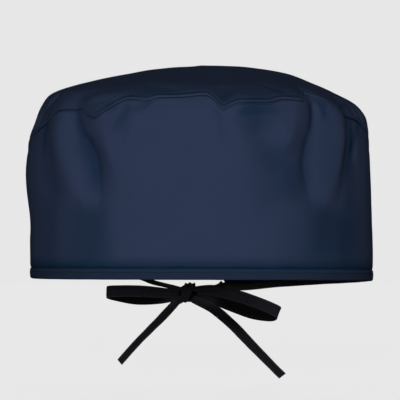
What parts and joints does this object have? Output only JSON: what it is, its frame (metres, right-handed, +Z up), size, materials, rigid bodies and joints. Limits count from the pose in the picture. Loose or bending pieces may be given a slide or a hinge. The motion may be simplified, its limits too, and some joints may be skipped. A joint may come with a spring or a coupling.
{
  "type": "tie-back bandana cap",
  "caption": "Soft domed cotton cap with a tall side panel, a sewn hem casing and a back gap closed by tape ties in a bow.",
  "frame": {"origin": "centre of the head opening, level with the front hem", "axes": "+Z up out of the crown, -Y to the front of the cap, +Y to the ties, +X to the right as seen from the front"},
  "size_m": [0.1831, 0.2139, 0.1686],
  "materials": {
    "side_cotton": "matt woven cotton, navy",
    "crown_cotton": "matt woven cotton, navy",
    "hem_cotton": "matt woven cotton, folded and topstitched",
    "tie_tape": "folded cotton tape, near-black navy"
  },
  "bodies": {
    "root": {"side_panel": "side_cotton", "crown_panel": "crown_cotton", "hem_casing": "hem_cotton", "tie_lead_left": "tie_tape", "tie_lead_right": "tie_tape", "bow_knot": "tie_tape", "bow_loop_left": "tie_tape", "bow_loop_right": "tie_tape", "tie_tail_left": "tie_tape", "tie_tail_right": "tie_tape"}
  },
  "joints": []
}
